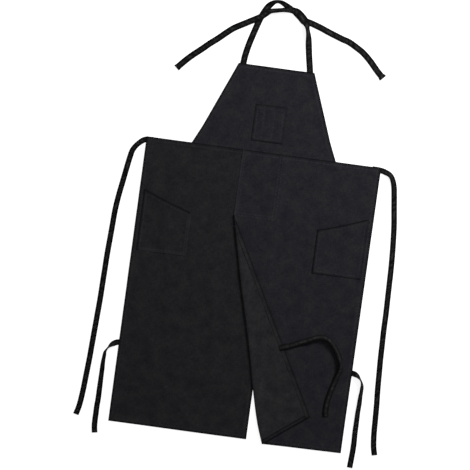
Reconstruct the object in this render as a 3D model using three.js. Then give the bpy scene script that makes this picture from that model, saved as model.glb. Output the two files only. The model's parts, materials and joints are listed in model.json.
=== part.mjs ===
// Artist's smock apron with a split skirt, laid out flat with its front up and its bib towards +Y.
// Two skirt panels are stitched together over a narrow overlap below the waist, and hang as two legs
// from there down. The inner corner of the right leg is turned back over the leg, wrong side up.
// Each cut piece of cotton twill is a thin plate, and each turned hem is a strip behind its edge.
// Left is -X and right is +X, as seen from the front.
import * as THREE from 'three';

// Driving dimensions, in millimetres.
const SKIRT_WIDTH = 712;
const SKIRT_LENGTH = 867;
const BIB_HEIGHT = 255;
const BIB_TOP_WIDTH = 220;
const BIB_WAIST_WIDTH = 442;
const BIB_FLARE = 29; // how far each lower corner flares out past the straight side
const BIB_FLARE_HEIGHT = 57; // how far above the waist the flare begins
const CLOTH = 0.8;
const GAP = 0.3; // between two layers, and between pieces that are sewn edge to edge
const HEM = 12;
const OVERLAP = 128; // how much the skirt panels lap over each other, centred
const SPLIT_DROP = 202; // from the waist seam down to where the legs part
const CREASE_HEM_X = 104; // where the turned-back corner's crease meets the hem

const CHEST_POCKET_WIDTH = 97;
const CHEST_POCKET_HEIGHT = 112;
const CHEST_POCKET_DROP = 112; // from the bib's top edge
const CHEST_POCKET_OFFSET = 4; // from the centre line
const SIDE_POCKET_WIDTH = 151;
const SIDE_POCKET_DROP = 345; // from the waist seam to the pocket's bottom
const SIDE_POCKET_SIDE = 186; // its height along the skirt's side
const SIDE_POCKET_FRONT = 133; // its height along its inner edge

const NECK_STRAP_WIDTH = 18.5;
const TIE_WIDTH = 16.5;
const TAPE = 1; // thickness of every strap and tie
const LEG_TIE_DROP = 630; // from the waist seam, down each leg's edges
const STUB = 3; // how far a strap runs straight out of its edge before it turns
const FLARE_STEPS = 8;

// Cloth lies in layers, each one layer pitch above the last, and the lowest rests on the ground.
const LAYER = CLOTH + GAP;
const TOP = (SKIRT_LENGTH + BIB_HEIGHT) / 2;
const WAIST = TOP - BIB_HEIGHT;
const FOOT = WAIST - SKIRT_LENGTH;
const SEAM = GAP / 2; // each side of a seam stops this far from it
const SKIRT_TOP = WAIST - SEAM;
const SIDE = SKIRT_WIDTH / 2;
const LAP = OVERLAP / 2;
const SPLIT_TOP = [-LAP, WAIST - SPLIT_DROP];
const CREASE_FOOT = [CREASE_HEM_X, FOOT];

// Routes of the free straps and ties, from their exits: x, y and how far the tape is lifted.
const WAIST_TIE_LEFT = [
  [-15, -7, 0], [-29, -21, 0], [-40, -39, 0], [-45, -61, 0], [-49, -85, 0], [-56, -132, 0],
  [-63, -179, 0], [-68, -225, 0], [-70, -272, 0], [-72, -318, 0], [-74, -364, 0], [-75, -411, 0],
  [-76, -457, 0], [-77, -503, 0], [-79, -549, 0], [-81, -595, 0], [-83, -642, 0], [-85, -688, 0],
  [-88, -734, 0], [-91, -781, 0], [-96, -827, 0], [-103, -857, 0],
];
const WAIST_TIE_RIGHT = [
  [17, -2, 0], [33, -9, 0], [43, -22, 0], [50, -42, 0], [54, -66, 0], [60, -112, 0],
  [66, -157, 0], [70, -202, 0], [73, -248, 0], [75, -294, 0], [76, -339, 0], [77, -385, 0],
  [78, -431, 0], [78, -477, 0], [79, -523, 0], [80, -569, 0], [82, -615, 0], [84, -661, 0],
  [87, -706, 0], [89, -752, 0], [91, -798, 0], [95, -834, 0], [101, -859, 0],
];
const LEG_TIE_LEFT = [
  [-11, -3, 0], [-22, -10, 0], [-32, -20, 0], [-39, -33, 0], [-41, -48, 0], [-42, -66, 0],
  [-42, -87, 0], [-42, -108, 0], [-42, -130, 0], [-42, -154, 0], [-42, -179, 0], [-43, -201, 0],
  [-43, -225, 0], [-43, -247, 0], [-42, -265, 0], [-39, -283, 0],
];
const LEG_TIE_RIGHT = [
  [10, -2, 0], [20, -8, 0], [29, -18, 0], [34, -31, 0], [35, -47, 0], [34, -67, 0],
  [34, -91, 0], [33, -113, 0], [33, -137, 0], [33, -159, 0], [33, -183, 0], [34, -205, 0],
  [34, -229, 0], [33, -251, 0], [32, -269, 0], [31, -285, 0],
];
const LEG_TIE_INNER = [
  [17, 5, 0], [35, 13, 0], [54, 22, 0.5], [74, 31, 1.5], [92, 40, 3], [111, 45, 4],
  [129, 42, 4], [144, 31, 4], [156, 17, 4], [167, 0, 4], [175, -17, 4], [179, -34, 4],
  [178, -50, 4], [173, -64, 3], [169, -79, 2], [165, -95, 1], [160, -112, 0.5], [156, -130, 0],
  [153, -146, 0], [152, -162, 0], [152, -177, 0], [154, -191, 0],
];
// The neck straps are tied in one half knot, so both are measured from the middle of the bib's top.
// The left one stays down, and the right one lies over it wherever they cross.
const NECK_STRAP_LEFT = [
  [-95, 31, 0], [-88, 66, 0], [-76, 110, 0], [-66, 143, 0], [-55, 169, 0], [-45, 186, 0],
  [-32, 198, 0], [-20, 203, 0], [-7, 202, 0], [7, 196, 0], [20, 190, 0], [37, 180, 0],
  [55, 167, 0], [70, 158, 0], [92, 152, 0], [120, 143, 0], [146, 133, 0], [189, 118, 0],
  [212, 111, 0], [235, 99, 0], [258, 85, 0], [283, 63, 0], [308, 36, 0], [329, 16, 0],
];
const NECK_STRAP_RIGHT = [
  [102, 29, 0], [98, 49, 0.2], [92, 84, 1], [88, 109, 2.5], [83, 128, 5], [76, 146, 7.5],
  [68, 157, 8], [52, 172, 8], [38, 181, 7.5], [22, 184, 6], [0, 180, 4], [-19, 176, 3],
  [-36, 172, 2.5], [-50, 163, 2.5], [-66, 150, 2.5], [-87, 138, 2], [-113, 123, 1],
  [-140, 107, 0.2], [-162, 89, 0], [-184, 69, 0], [-206, 51, 0], [-228, 31, 0], [-250, 12, 0],
  [-272, -9, 0], [-297, -37, 0],
];

// The bottom of one layer of cloth, counted from the ground.
const layer = (n) => n * LAYER;

// The part of an outline that lies more than inset to the left of the line from a to b.
function keep(outline, [a, b], inset) {
  const length = Math.hypot(b[0] - a[0], b[1] - a[1]);
  const depth = ([x, y]) => ((b[0] - a[0]) * (y - a[1]) - (b[1] - a[1]) * (x - a[0])) / length - inset;
  const kept = [];
  outline.forEach((p, i) => {
    const q = outline[(i + 1) % outline.length];
    const dp = depth(p);
    const dq = depth(q);
    if (dp >= 0) kept.push(p);
    if (dp * dq < 0) {
      const t = dp / (dp - dq);
      kept.push([p[0] + t * (q[0] - p[0]), p[1] + t * (q[1] - p[1])]);
    }
  });
  return kept;
}

// The part of an outline that lies within width of the edge from a to b, on its left.
const within = (outline, [a, b], width) => keep(outline, [b, a], -width);

// A side of an outline whose corners go round anticlockwise.
const edge = (outline, n) => [outline[n], outline[(n + 1) % outline.length]];

// An outline on the other side of the centre line, still anticlockwise.
const mirrored = (outline) => outline.map(([x, y]) => [-x, y]).reverse();

// A flat piece of cloth with its bottom at z.
function plate(outline, z) {
  const shape = new THREE.Shape(outline.map(([x, y]) => new THREE.Vector2(x, y)));
  const geometry = new THREE.ExtrudeGeometry(shape, { depth: CLOTH, bevelEnabled: false });
  return geometry.translate(0, 0, z);
}

// A curve whose tape keeps its face up all the way along.
class TapePath extends THREE.CatmullRomCurve3 {
  computeFrenetFrames(segments) {
    const up = new THREE.Vector3(0, 0, 1);
    const frames = { tangents: [], normals: [], binormals: [] };
    for (let i = 0; i <= segments; i += 1) {
      const tangent = this.getTangentAt(i / segments);
      const side = new THREE.Vector3().crossVectors(up, tangent).normalize();
      frames.tangents.push(tangent);
      frames.normals.push(side);
      frames.binormals.push(new THREE.Vector3().crossVectors(tangent, side));
    }
    return frames;
  }
}

// A flat tape with chamfered edges that leaves an edge straight out, then follows its route. The
// route is measured from origin, and ground is the height of what the tape lies on.
function tape(name, exit, outward, origin, route, width, ground) {
  const z = ground + TAPE / 2;
  const start = [exit[0] + GAP * outward[0], exit[1] + GAP * outward[1]];
  const path = new TapePath([
    new THREE.Vector3(start[0], start[1], z),
    new THREE.Vector3(start[0] + STUB * outward[0], start[1] + STUB * outward[1], z),
    ...route.map(([x, y, lift]) => new THREE.Vector3(origin[0] + x, origin[1] + y, z + lift)),
  ]);
  const chamfer = TAPE / 3;
  const [wide, thick] = [width / 2, TAPE / 2];
  const section = new THREE.Shape([
    [wide, chamfer - thick], [wide, thick - chamfer], [wide - chamfer, thick], [chamfer - wide, thick],
    [-wide, thick - chamfer], [-wide, chamfer - thick], [chamfer - wide, -thick], [wide - chamfer, -thick],
  ].map(([x, y]) => new THREE.Vector2(x, y)));
  const steps = Math.round(path.getLength() / width);
  add(name, new THREE.ExtrudeGeometry(section, { steps, extrudePath: path }), TAPE_TWILL);
}

const TWILL = { color: 0x1f2024, roughness: 0.92, metalness: 0 };
const TWILL_BACK = { color: 0x26272b, roughness: 0.95, metalness: 0 };
const TAPE_TWILL = { color: 0x17171a, roughness: 0.85, metalness: 0 };

const apron = new THREE.Group();

function add(name, geometry, finish) {
  const mesh = new THREE.Mesh(geometry, new THREE.MeshStandardMaterial(finish));
  mesh.name = name;
  apron.add(mesh);
}

// The bib: its sides run straight down from the top, then flare out to the waist in a curve.
function bib() {
  const half = BIB_TOP_WIDTH / 2;
  const flareHalf = BIB_WAIST_WIDTH / 2 - BIB_FLARE;
  const flareTop = WAIST + BIB_FLARE_HEIGHT;
  const lean = (flareHalf - half) / (TOP - flareTop);
  const bottom = WAIST + SEAM;
  const midway = BIB_FLARE_HEIGHT / 2;
  const flare = new THREE.QuadraticBezierCurve(
    new THREE.Vector2(BIB_WAIST_WIDTH / 2, bottom),
    new THREE.Vector2(flareHalf + lean * midway, WAIST + midway),
    new THREE.Vector2(flareHalf, flareTop),
  );
  const side = [...flare.getPoints(FLARE_STEPS).map((p) => [p.x, p.y]), [half, TOP]];
  add('bib_panel', plate([...side, ...side.map(([x, y]) => [-x, y]).reverse()], layer(1)), TWILL);

  // Measured level, a band of even width along the side is wider where the side leans more.
  const slant = ([ax, ay], [bx, by]) => Math.hypot(bx - ax, by - ay) / (by - ay);
  const slants = side.map((p, i) => slant(i ? side[i - 1] : p, i ? p : side[1]));
  const rightHem = [...side, ...side.map(([x, y], i) => [x - HEM * slants[i], y]).reverse()];
  add('bib_right_hem', plate(rightHem, layer(0)), TWILL_BACK);
  add('bib_left_hem', plate(mirrored(rightHem), layer(0)), TWILL_BACK);

  // The top hem and the seam allowance run between the side hems.
  const strip = (halfWidth, low) => [
    [-halfWidth, low], [halfWidth, low], [halfWidth, low + HEM], [-halfWidth, low + HEM],
  ];
  const topHalf = half - (HEM + GAP) * slants[side.length - 1];
  add('bib_top_hem', plate(strip(topHalf, TOP - HEM), layer(0)), TWILL_BACK);
  const [flareAtHem] = side.find(([, y]) => y > bottom + HEM);
  const seamHalf = flareAtHem - (HEM + GAP) * slants[0];
  add('waist_seam_allowance', plate(strip(seamHalf, bottom), layer(0)), TWILL_BACK);
}

// The strip that hems an outline along one edge, cut back from the edges that it ends at.
const hem = (outline, along, ...ends) => (
  ends.reduce((strip, [end, inset]) => keep(strip, end, inset), within(outline, along, HEM)));

// Patch pockets are hemmed at the mouth, towards the panel that they are sewn on.
function chestPocket() {
  const left = CHEST_POCKET_OFFSET - CHEST_POCKET_WIDTH / 2;
  const right = left + CHEST_POCKET_WIDTH;
  const top = TOP - CHEST_POCKET_DROP;
  const bottom = top - CHEST_POCKET_HEIGHT;
  const outline = [[left, bottom], [right, bottom], [right, top], [left, top]];
  add('chest_pocket', plate(outline, layer(3)), TWILL);
  add('chest_pocket_hem', plate(hem(outline, edge(outline, 2)), layer(2)), TWILL_BACK);
}

// The parts of a leg that both have, drawn for the right one and put in place by side. The first
// three edges of its outline are its foot, its outer side and its waist.
function leg(name, outline, ground, side) {
  const [outer, waist] = [edge(outline, 1), edge(outline, 2)];
  const bibCorner = [[BIB_WAIST_WIDTH / 2, WAIST], [BIB_WAIST_WIDTH / 2, FOOT]];
  const waistHem = hem(outline, waist, [outer, HEM + GAP], [bibCorner, 0]);
  add(`${name}_skirt_panel`, plate(side(outline), layer(ground + 1)), TWILL);
  add(`${name}_side_hem`, plate(side(hem(outline, outer)), layer(ground)), TWILL_BACK);
  add(`${name}_waist_hem`, plate(side(waistHem), layer(ground)), TWILL_BACK);

  const pocketSide = SIDE - HEM;
  const pocketFront = pocketSide - SIDE_POCKET_WIDTH;
  const pocketFoot = WAIST - SIDE_POCKET_DROP;
  const patch = [
    [pocketFront, pocketFoot], [pocketSide, pocketFoot],
    [pocketSide, pocketFoot + SIDE_POCKET_SIDE], [pocketFront, pocketFoot + SIDE_POCKET_FRONT],
  ];
  add(`${name}_side_pocket`, plate(side(patch), layer(ground + 3)), TWILL);
  add(`${name}_side_pocket_hem`, plate(side(hem(patch, edge(patch, 2))), layer(ground + 2)), TWILL_BACK);
}

// The left leg lies under the right one where they overlap, and its inner edge is hemmed all down.
function leftLeg() {
  const outline = [[-LAP, FOOT], [SIDE, FOOT], [SIDE, SKIRT_TOP], [-LAP, SKIRT_TOP]];
  const [foot, outer, inner] = [edge(outline, 0), edge(outline, 1), edge(outline, 3)];
  const footHem = hem(outline, foot, [outer, HEM + GAP], [inner, HEM + GAP]);
  leg('left', outline, 0, mirrored);
  add('left_bottom_hem', plate(mirrored(footHem), layer(0)), TWILL_BACK);
  add('left_split_hem', plate(mirrored(hem(outline, inner)), layer(0)), TWILL_BACK);
}

// The right leg ends at the crease from the split's top down to its foot.
function rightLeg() {
  const outline = [CREASE_FOOT, [SIDE, FOOT], [SIDE, SKIRT_TOP], [-LAP, SKIRT_TOP], SPLIT_TOP];
  const [foot, outer, inner, crease] = [0, 1, 3, 4].map((n) => edge(outline, n));
  const footHem = hem(outline, foot, [outer, HEM + GAP], [crease, GAP]);
  leg('right', outline, 2, (shape) => shape);
  add('right_bottom_hem', plate(footHem, layer(2)), TWILL_BACK);
  add('right_overlap_hem', plate(hem(outline, inner, [crease, GAP]), layer(2)), TWILL_BACK);
}

// The right leg's inner corner turned over the crease: its hems face up, and its tie lies on the leg.
function turnedCorner() {
  const down = [CREASE_FOOT[0] - SPLIT_TOP[0], CREASE_FOOT[1] - SPLIT_TOP[1]];
  const turn = 2 * Math.atan2(down[0], -down[1]);
  const inward = [Math.sin(turn), -Math.cos(turn)];
  const alongEdge = (length) => [SPLIT_TOP[0] + length * inward[0], SPLIT_TOP[1] + length * inward[1]];
  const outline = [SPLIT_TOP, CREASE_FOOT, alongEdge(SPLIT_TOP[1] - FOOT)];
  const [crease, foot, inner] = [0, 1, 2].map((n) => edge(outline, n));
  add('turned_corner', plate(outline, layer(4)), TWILL_BACK);
  add('turned_corner_split_hem', plate(hem(outline, inner, [crease, GAP]), layer(5)), TWILL_BACK);
  const footHem = hem(outline, foot, [inner, HEM + GAP], [crease, GAP]);
  add('turned_corner_bottom_hem', plate(footHem, layer(5)), TWILL_BACK);

  const exit = alongEdge(LEG_TIE_DROP - SPLIT_DROP);
  const outward = [-inward[1], inward[0]];
  tape('leg_tie_inner', exit, outward, exit, LEG_TIE_INNER, TIE_WIDTH, layer(4));
}

// The ties leave the skirt's sides, and the neck straps leave the bib's top corners.
function straps() {
  const waist = SKIRT_TOP - TIE_WIDTH / 2;
  const knee = WAIST - LEG_TIE_DROP;
  for (const [name, x, y, route] of [
    ['waist_tie_left', -SIDE, waist, WAIST_TIE_LEFT],
    ['waist_tie_right', SIDE, waist, WAIST_TIE_RIGHT],
    ['leg_tie_left', -SIDE, knee, LEG_TIE_LEFT],
    ['leg_tie_right', SIDE, knee, LEG_TIE_RIGHT],
  ]) {
    tape(name, [x, y], [Math.sign(x), 0], [x, y], route, TIE_WIDTH, 0);
  }
  const neck = (BIB_TOP_WIDTH - NECK_STRAP_WIDTH) / 2;
  tape('neck_strap_left', [-neck, TOP], [0, 1], [0, TOP], NECK_STRAP_LEFT, NECK_STRAP_WIDTH, 0);
  tape('neck_strap_right', [neck, TOP], [0, 1], [0, TOP], NECK_STRAP_RIGHT, NECK_STRAP_WIDTH, 0);
}

bib();
chestPocket();
leftLeg();
rightLeg();
turnedCorner();
straps();

export default apron;
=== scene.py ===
# Artist's smock apron in black cotton twill, with a split skirt, laid out flat with its front up.
# Sizes are in millimetres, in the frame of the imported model: +Y towards the bib, +X to the right as
# seen from the front, +Z out of the front, and the origin on the ground under the cloth's middle.
import json
import math

import bpy
import numpy as np
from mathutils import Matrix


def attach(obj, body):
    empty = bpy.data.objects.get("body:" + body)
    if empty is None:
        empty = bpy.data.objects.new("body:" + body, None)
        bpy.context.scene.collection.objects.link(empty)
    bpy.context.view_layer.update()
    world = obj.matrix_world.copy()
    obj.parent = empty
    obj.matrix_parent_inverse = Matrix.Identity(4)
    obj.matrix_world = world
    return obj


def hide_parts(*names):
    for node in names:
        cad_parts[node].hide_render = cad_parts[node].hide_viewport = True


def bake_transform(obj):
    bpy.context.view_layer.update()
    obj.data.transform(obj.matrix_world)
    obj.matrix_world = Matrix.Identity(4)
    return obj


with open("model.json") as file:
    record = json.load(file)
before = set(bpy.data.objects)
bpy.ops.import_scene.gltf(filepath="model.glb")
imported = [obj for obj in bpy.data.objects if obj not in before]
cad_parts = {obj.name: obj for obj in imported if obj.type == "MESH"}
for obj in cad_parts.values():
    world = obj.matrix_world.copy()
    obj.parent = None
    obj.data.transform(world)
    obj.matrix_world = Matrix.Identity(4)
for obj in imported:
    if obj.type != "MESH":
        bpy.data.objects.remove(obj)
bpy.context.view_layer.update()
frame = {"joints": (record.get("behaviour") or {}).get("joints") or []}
bpy.ops.object.select_all(action="DESELECT")
MM = 0.001


# Ground, light and camera. The apron lies on white seamless paper. One soft lamp stands high on its
# right, and white walls fill in all round. The camera looks straight down through a long lens.
def linear(colour):
    """An sRGB hex colour as linear RGBA."""
    parts = [int(colour[i : i + 2], 16) / 255 for i in (1, 3, 5)]
    return [c / 12.92 if c <= 0.04045 else ((c + 0.055) / 1.055) ** 2.4 for c in parts] + [1]


def add(tree, kind, inputs=(), **settings):
    """Adds a node. Each input gets a value, or another node's output."""
    node = tree.nodes.new(kind)
    for name, value in settings.items():
        setattr(node, name, value)
    for name, value in dict(inputs).items():
        if isinstance(value, bpy.types.NodeSocket):
            tree.links.new(value, node.inputs[name])
        else:
            node.inputs[name].default_value = value
    return node


def blank_material(name):
    material = bpy.data.materials.new(name)
    material.use_nodes = True
    material.node_tree.nodes.clear()
    return material


bpy.ops.mesh.primitive_plane_add(size=16, location=(0, 0, 0))
ground = bpy.context.object
ground.name = "paper_ground"
ground.data.transform(ground.matrix_world.Translation((0, 0, -0.2 * MM)))
# Matt white paper on a light table: most of its white comes through it, so shadows on it are faint.
paper = blank_material("white seamless paper")
paper_face = add(
    paper.node_tree,
    "ShaderNodeBsdfPrincipled",
    {"Base Color": linear("#8f8f8f"), "Roughness": 0.95, "Specular IOR Level": 0.1,
     "Emission Color": (1, 1, 1, 1), "Emission Strength": 0.84},
)
add(paper.node_tree, "ShaderNodeOutputMaterial", {"Surface": paper_face.outputs["BSDF"]})
ground.data.materials.append(paper)

room = bpy.data.worlds.new("white room")
room.use_nodes = True
room.node_tree.nodes["Background"].inputs["Color"].default_value = (1, 1, 1, 1)
room.node_tree.nodes["Background"].inputs["Strength"].default_value = 0.55
bpy.context.scene.world = room
bpy.context.scene.view_settings.view_transform = "Standard"

lamp = bpy.data.objects.new("soft lamp", bpy.data.lights.new("soft lamp", "AREA"))
lamp.data.shape, lamp.data.size, lamp.data.energy = "DISK", 0.9, 110
lamp.location = (1.3, 1.7, 1.6)
lamp.rotation_euler = lamp.location.to_track_quat("Z", "Y").to_euler()
bpy.context.scene.collection.objects.link(lamp)

VIEW_WIDTH = 1428.8  # across the whole view, on the ground
LENS = 100
camera = bpy.data.objects.new("camera", bpy.data.cameras.new("camera"))
camera.data.lens = LENS
camera.location = (-0.0529, 0.0449, LENS / camera.data.sensor_width * VIEW_WIDTH * MM)
camera.rotation_euler = (0, 0, math.radians(7.72))
bpy.context.scene.collection.objects.link(camera)
bpy.context.scene.camera = camera


# Straps and ties. Each is a strip of twill folded in four and stitched along both edges, so it has
# firm edges, painted with shade, and a slightly puffed middle. Its inner end is sewn behind a hem.
PAINTED_HIGHLIGHT, PAINTED_SHADE = "#404046", "#020203"  # the painted highlight and the painted shade colours, the palest and the darkest
WAVE_BAND = 0.314  # what one band of a Wave texture spans at scale 1, here in metres


def weave(name, colour, light, rib, rib_height, mottle, roughness, gloss):
    """Cotton twill: diagonal ribs rib mm apart, a patchy dye and uneven yarns. The mesh also carries
    painted light: up to 1 is painted shade at edges and wrinkles, down to -1 a painted highlight."""
    material = blank_material(name)
    tree = material.node_tree
    flat = add(tree, "ShaderNodeTexCoord").outputs["UV"]
    turned = add(tree, "ShaderNodeMapping", {"Vector": flat, "Rotation": (0, 0, math.radians(63))})
    ribs = add(tree, "ShaderNodeTexWave", {"Vector": turned.outputs["Vector"],
               "Scale": WAVE_BAND / (rib * MM), "Distortion": 0.6, "Detail": 1.0})
    slubs = add(tree, "ShaderNodeTexNoise", {"Vector": flat, "Scale": 300.0, "Detail": 3.0})
    patches = add(tree, "ShaderNodeTexNoise", {"Vector": flat, "Scale": 1000 / mottle,
                  "Detail": 4.0, "Roughness": 0.6})
    worn = add(tree, "ShaderNodeMapRange", {"Value": patches.outputs["Fac"], "From Min": 0.3,
               "From Max": 0.7})
    # A Mix node has one A and one B for each data type. Those for colours are its inputs 6 and 7,
    # and the mixed colour is its output 2.
    dye = add(tree, "ShaderNodeMix", {"Factor": worn.outputs["Result"], 6: linear(colour),
              7: linear(light)}, data_type="RGBA")
    # Uneven yarns, 12 mm by 3 mm along the warp and along the weft.
    yarn = []
    for stretch in ((1, 0.25, 1), (0.25, 1, 1)):
        drawn_out = add(tree, "ShaderNodeMapping", {"Vector": flat, "Scale": stretch})
        uneven = add(tree, "ShaderNodeTexNoise", {"Vector": drawn_out.outputs["Vector"],
                     "Scale": 330.0, "Detail": 2.0})
        yarn.append(uneven.outputs["Fac"])
    grain = add(tree, "ShaderNodeMath", {0: yarn[0], 1: yarn[1]}, operation="ADD")
    even_grain = add(tree, "ShaderNodeMapRange", {"Value": grain.outputs["Value"], "From Min": 0.7,
                     "From Max": 1.3, "To Min": 0.72, "To Max": 1.28})
    shade = add(tree, "ShaderNodeVectorMath", {0: dye.outputs[2], 1: even_grain.outputs["Result"]},
                operation="MULTIPLY")
    # Painted shade and painted highlights, read from the mesh, are mixed over the dye.
    shading_paint_node = add(tree, "ShaderNodeAttribute", attribute_name="darker")
    pale = add(tree, "ShaderNodeMapRange", {"Value": shading_paint_node.outputs["Fac"], "From Min": 0.0,
               "From Max": -1.0})
    deep = add(tree, "ShaderNodeMapRange", {"Value": shading_paint_node.outputs["Fac"]})
    shown = shade.outputs["Vector"]
    for share, target in ((pale, PAINTED_HIGHLIGHT), (deep, PAINTED_SHADE)):
        mixed = add(tree, "ShaderNodeMix", {"Factor": share.outputs["Result"], 6: shown,
                    7: linear(target)}, data_type="RGBA")
        shown = mixed.outputs[2]
    yarns = add(tree, "ShaderNodeMath", {0: ribs.outputs["Fac"], 1: slubs.outputs["Fac"]},
                operation="ADD")
    bump = add(tree, "ShaderNodeBump", {"Height": yarns.outputs["Value"], "Strength": 0.5,
               "Distance": rib_height * MM})
    face = add(tree, "ShaderNodeBsdfPrincipled", {"Base Color": shown,
               "Normal": bump.outputs["Normal"], "Roughness": roughness,
               "Specular IOR Level": gloss, "Sheen Weight": 0.02, "Sheen Roughness": 0.45})
    add(tree, "ShaderNodeOutputMaterial", {"Surface": face.outputs["BSDF"]})
    return material


# Folded and stitched twill tape: denser and a little darker than the cloth, with the same dry
# finish. Its ribs are 0.6 mm apart, drawn at 1.5 mm so that they show.
tape_twill = weave("folded twill tape", "#0f0f0f", "#1c1c1c", 1.5, 0.2, 14, 0.7, 0.03)
# Polyester thread, spun and dyed black: it is a little glossier than the cotton.
thread = blank_material("black polyester thread")
thread_face = add(thread.node_tree, "ShaderNodeBsdfPrincipled", {"Base Color": linear("#0e0e10"),
                  "Roughness": 0.6, "Specular IOR Level": 0.1})
add(thread.node_tree, "ShaderNodeOutputMaterial", {"Surface": thread_face.outputs["BSDF"]})


def piece(name, points, faces, chart, material, dark=0.0):
    """A closed mesh from points in mm, with chart as its flat map in mm and its faces outwards.
    dark is the painted shade at each point, from -1 to 1; below 0 it is a painted highlight."""
    mesh = bpy.data.meshes.new(name)
    mesh.from_pydata((np.asarray(points) * MM).tolist(), [], faces)
    corners = np.zeros(len(mesh.loops), int)
    mesh.loops.foreach_get("vertex_index", corners)
    layer = mesh.uv_layers.new(name="cloth_map")
    layer.data.foreach_set("uv", (np.asarray(chart)[corners] * MM).ravel().astype(np.float32))
    darker = mesh.attributes.new("darker", "FLOAT", "POINT")
    darker.data.foreach_set("value", np.broadcast_to(dark, len(points)).astype(np.float32))
    mesh.calc_loop_triangles()
    thirds = np.zeros(len(mesh.loop_triangles) * 3, int)
    mesh.loop_triangles.foreach_get("vertices", thirds)
    a, b, c = (np.asarray(points)[thirds.reshape(-1, 3)[:, k]] for k in range(3))
    if (a * np.cross(b, c)).sum() < 0:
        mesh.flip_normals()
    mesh.shade_smooth()
    mesh.set_sharp_from_angle(angle=math.radians(55))
    mesh.materials.append(material)
    made = bpy.data.objects.new(name, mesh)
    bpy.context.scene.collection.objects.link(made)
    return made


def distances(line):
    """How far along a line each of its points is."""
    return np.append(0, np.cumsum(np.linalg.norm(np.diff(line, axis=0), axis=1)))


def points_at(at, along, line):
    """The points of a line at distances along it, where along is how far its own points are."""
    return np.stack([np.interp(at, along, line[:, k]) for k in range(line.shape[1])], axis=1)


def unit(vectors):
    return vectors / np.linalg.norm(vectors, axis=1, keepdims=True)


def ease(t):
    """From 0 to 1 as t does, but level at both ends."""
    return t * t * (3 - 2 * t)


def smooth(points, step):
    """Points about step apart on a smooth curve through the given ones."""
    p = np.array(points, float)
    p = np.vstack([2 * p[0] - p[1], p, 2 * p[-1] - p[-2]])
    t = np.linspace(0, 1, 24, endpoint=False)[:, None]
    a, b, c, d = p[:-3, None], p[1:-2, None], p[2:-1, None], p[3:, None]
    curve = b + 0.5 * ((c - a) * t + (2 * a - 5 * b + 4 * c - d) * t**2
                       + (3 * b - a - 3 * c + d) * t**3)
    curve = np.vstack([curve.reshape(-1, p.shape[1]), p[-2]])
    along = distances(curve)
    at = np.linspace(0, along[-1], round(along[-1] / step) + 1)
    return points_at(at, along, curve)


def eased(at, keys):
    """A value that goes from key to key, (place, value), and comes to rest at each."""
    places, values = np.array(keys, float).T
    i = np.clip(np.searchsorted(places, at) - 1, 0, max(0, len(keys) - 2))
    j = np.minimum(i + 1, len(keys) - 1)
    t = np.clip((at - places[i]) / np.maximum(places[j] - places[i], 1e-6), 0, 1)
    return values[i] + (values[j] - values[i]) * ease(t)


# A stitch is a short thread that comes up out of the cloth and goes down again: along, across, up.
STITCH = [(-0.5, 0, -0.35), (-0.3, -1, 0), (-0.3, 0, 1), (-0.3, 1, 0), (0, -1.1, 0), (0, 0, 1.2),
          (0, 1.1, 0), (0.3, -1, 0), (0.3, 0, 1), (0.3, 1, 0), (0.5, 0, -0.35)]
STITCH_FACES = [(0, 2, 1), (0, 3, 2), (0, 1, 3), (1, 2, 5, 4), (2, 3, 6, 5), (3, 1, 4, 6),
                (4, 5, 8, 7), (5, 6, 9, 8), (6, 4, 7, 9), (7, 8, 10), (8, 9, 10), (9, 7, 10)]
PITCH, THREAD = 3.2, 0.42  # the stitches' length and thickness


def stitching(name, rows, up=1):
    """Rows of stitches as one piece. A row is its line's points in mm, and up is -1 underneath."""
    points, faces = [], []
    for row in rows:
        row = np.asarray(row, float)
        along = distances(row)
        count = max(1, round(along[-1] / PITCH))
        middle = (np.arange(count) + 0.5) * along[-1] / count
        ahead = unit(points_at(middle + 0.5, along, row) - points_at(middle - 0.5, along, row))
        side = unit(np.cross((0, 0, up), ahead))
        rise = np.cross(ahead, side)
        for centre, f, s, u in zip(points_at(middle, along, row), ahead, side, rise):
            start = len(points)
            points += [centre + a * PITCH * 0.8 * f + w * THREAD / 2 * s + h * THREAD / 2 * u
                       for a, w, h in STITCH]
            faces += [[start + k for k in face] for face in STITCH_FACES]
    points = np.array(points)
    return piece(name, points, faces, points[:, :2], thread)


# Across the tape: place in half widths, and height in half thicknesses. It dips at its stitching.
SECTION = [(-1, 0.2), (-0.95, 0.75), (-0.88, 0.95), (-0.8, 0.6), (-0.7, 0.9), (-0.4, 1.1),
           (0, 1.25), (0.4, 1.1), (0.7, 0.9), (0.8, 0.6), (0.88, 0.95), (0.95, 0.75), (1, 0.2)]
SEWN_AT = 0.8  # where its edges are stitched, in half widths
TAPE = 1.5  # its thickness
PUFF = 1.3  # how much higher the puffed middle is
TIE_WIDTH = 17.3
NECK_WIDTH = 19.4
FREE_END = 14  # the free end is folded under for so far, and stitched down 3 mm nearer to the tip


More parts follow.
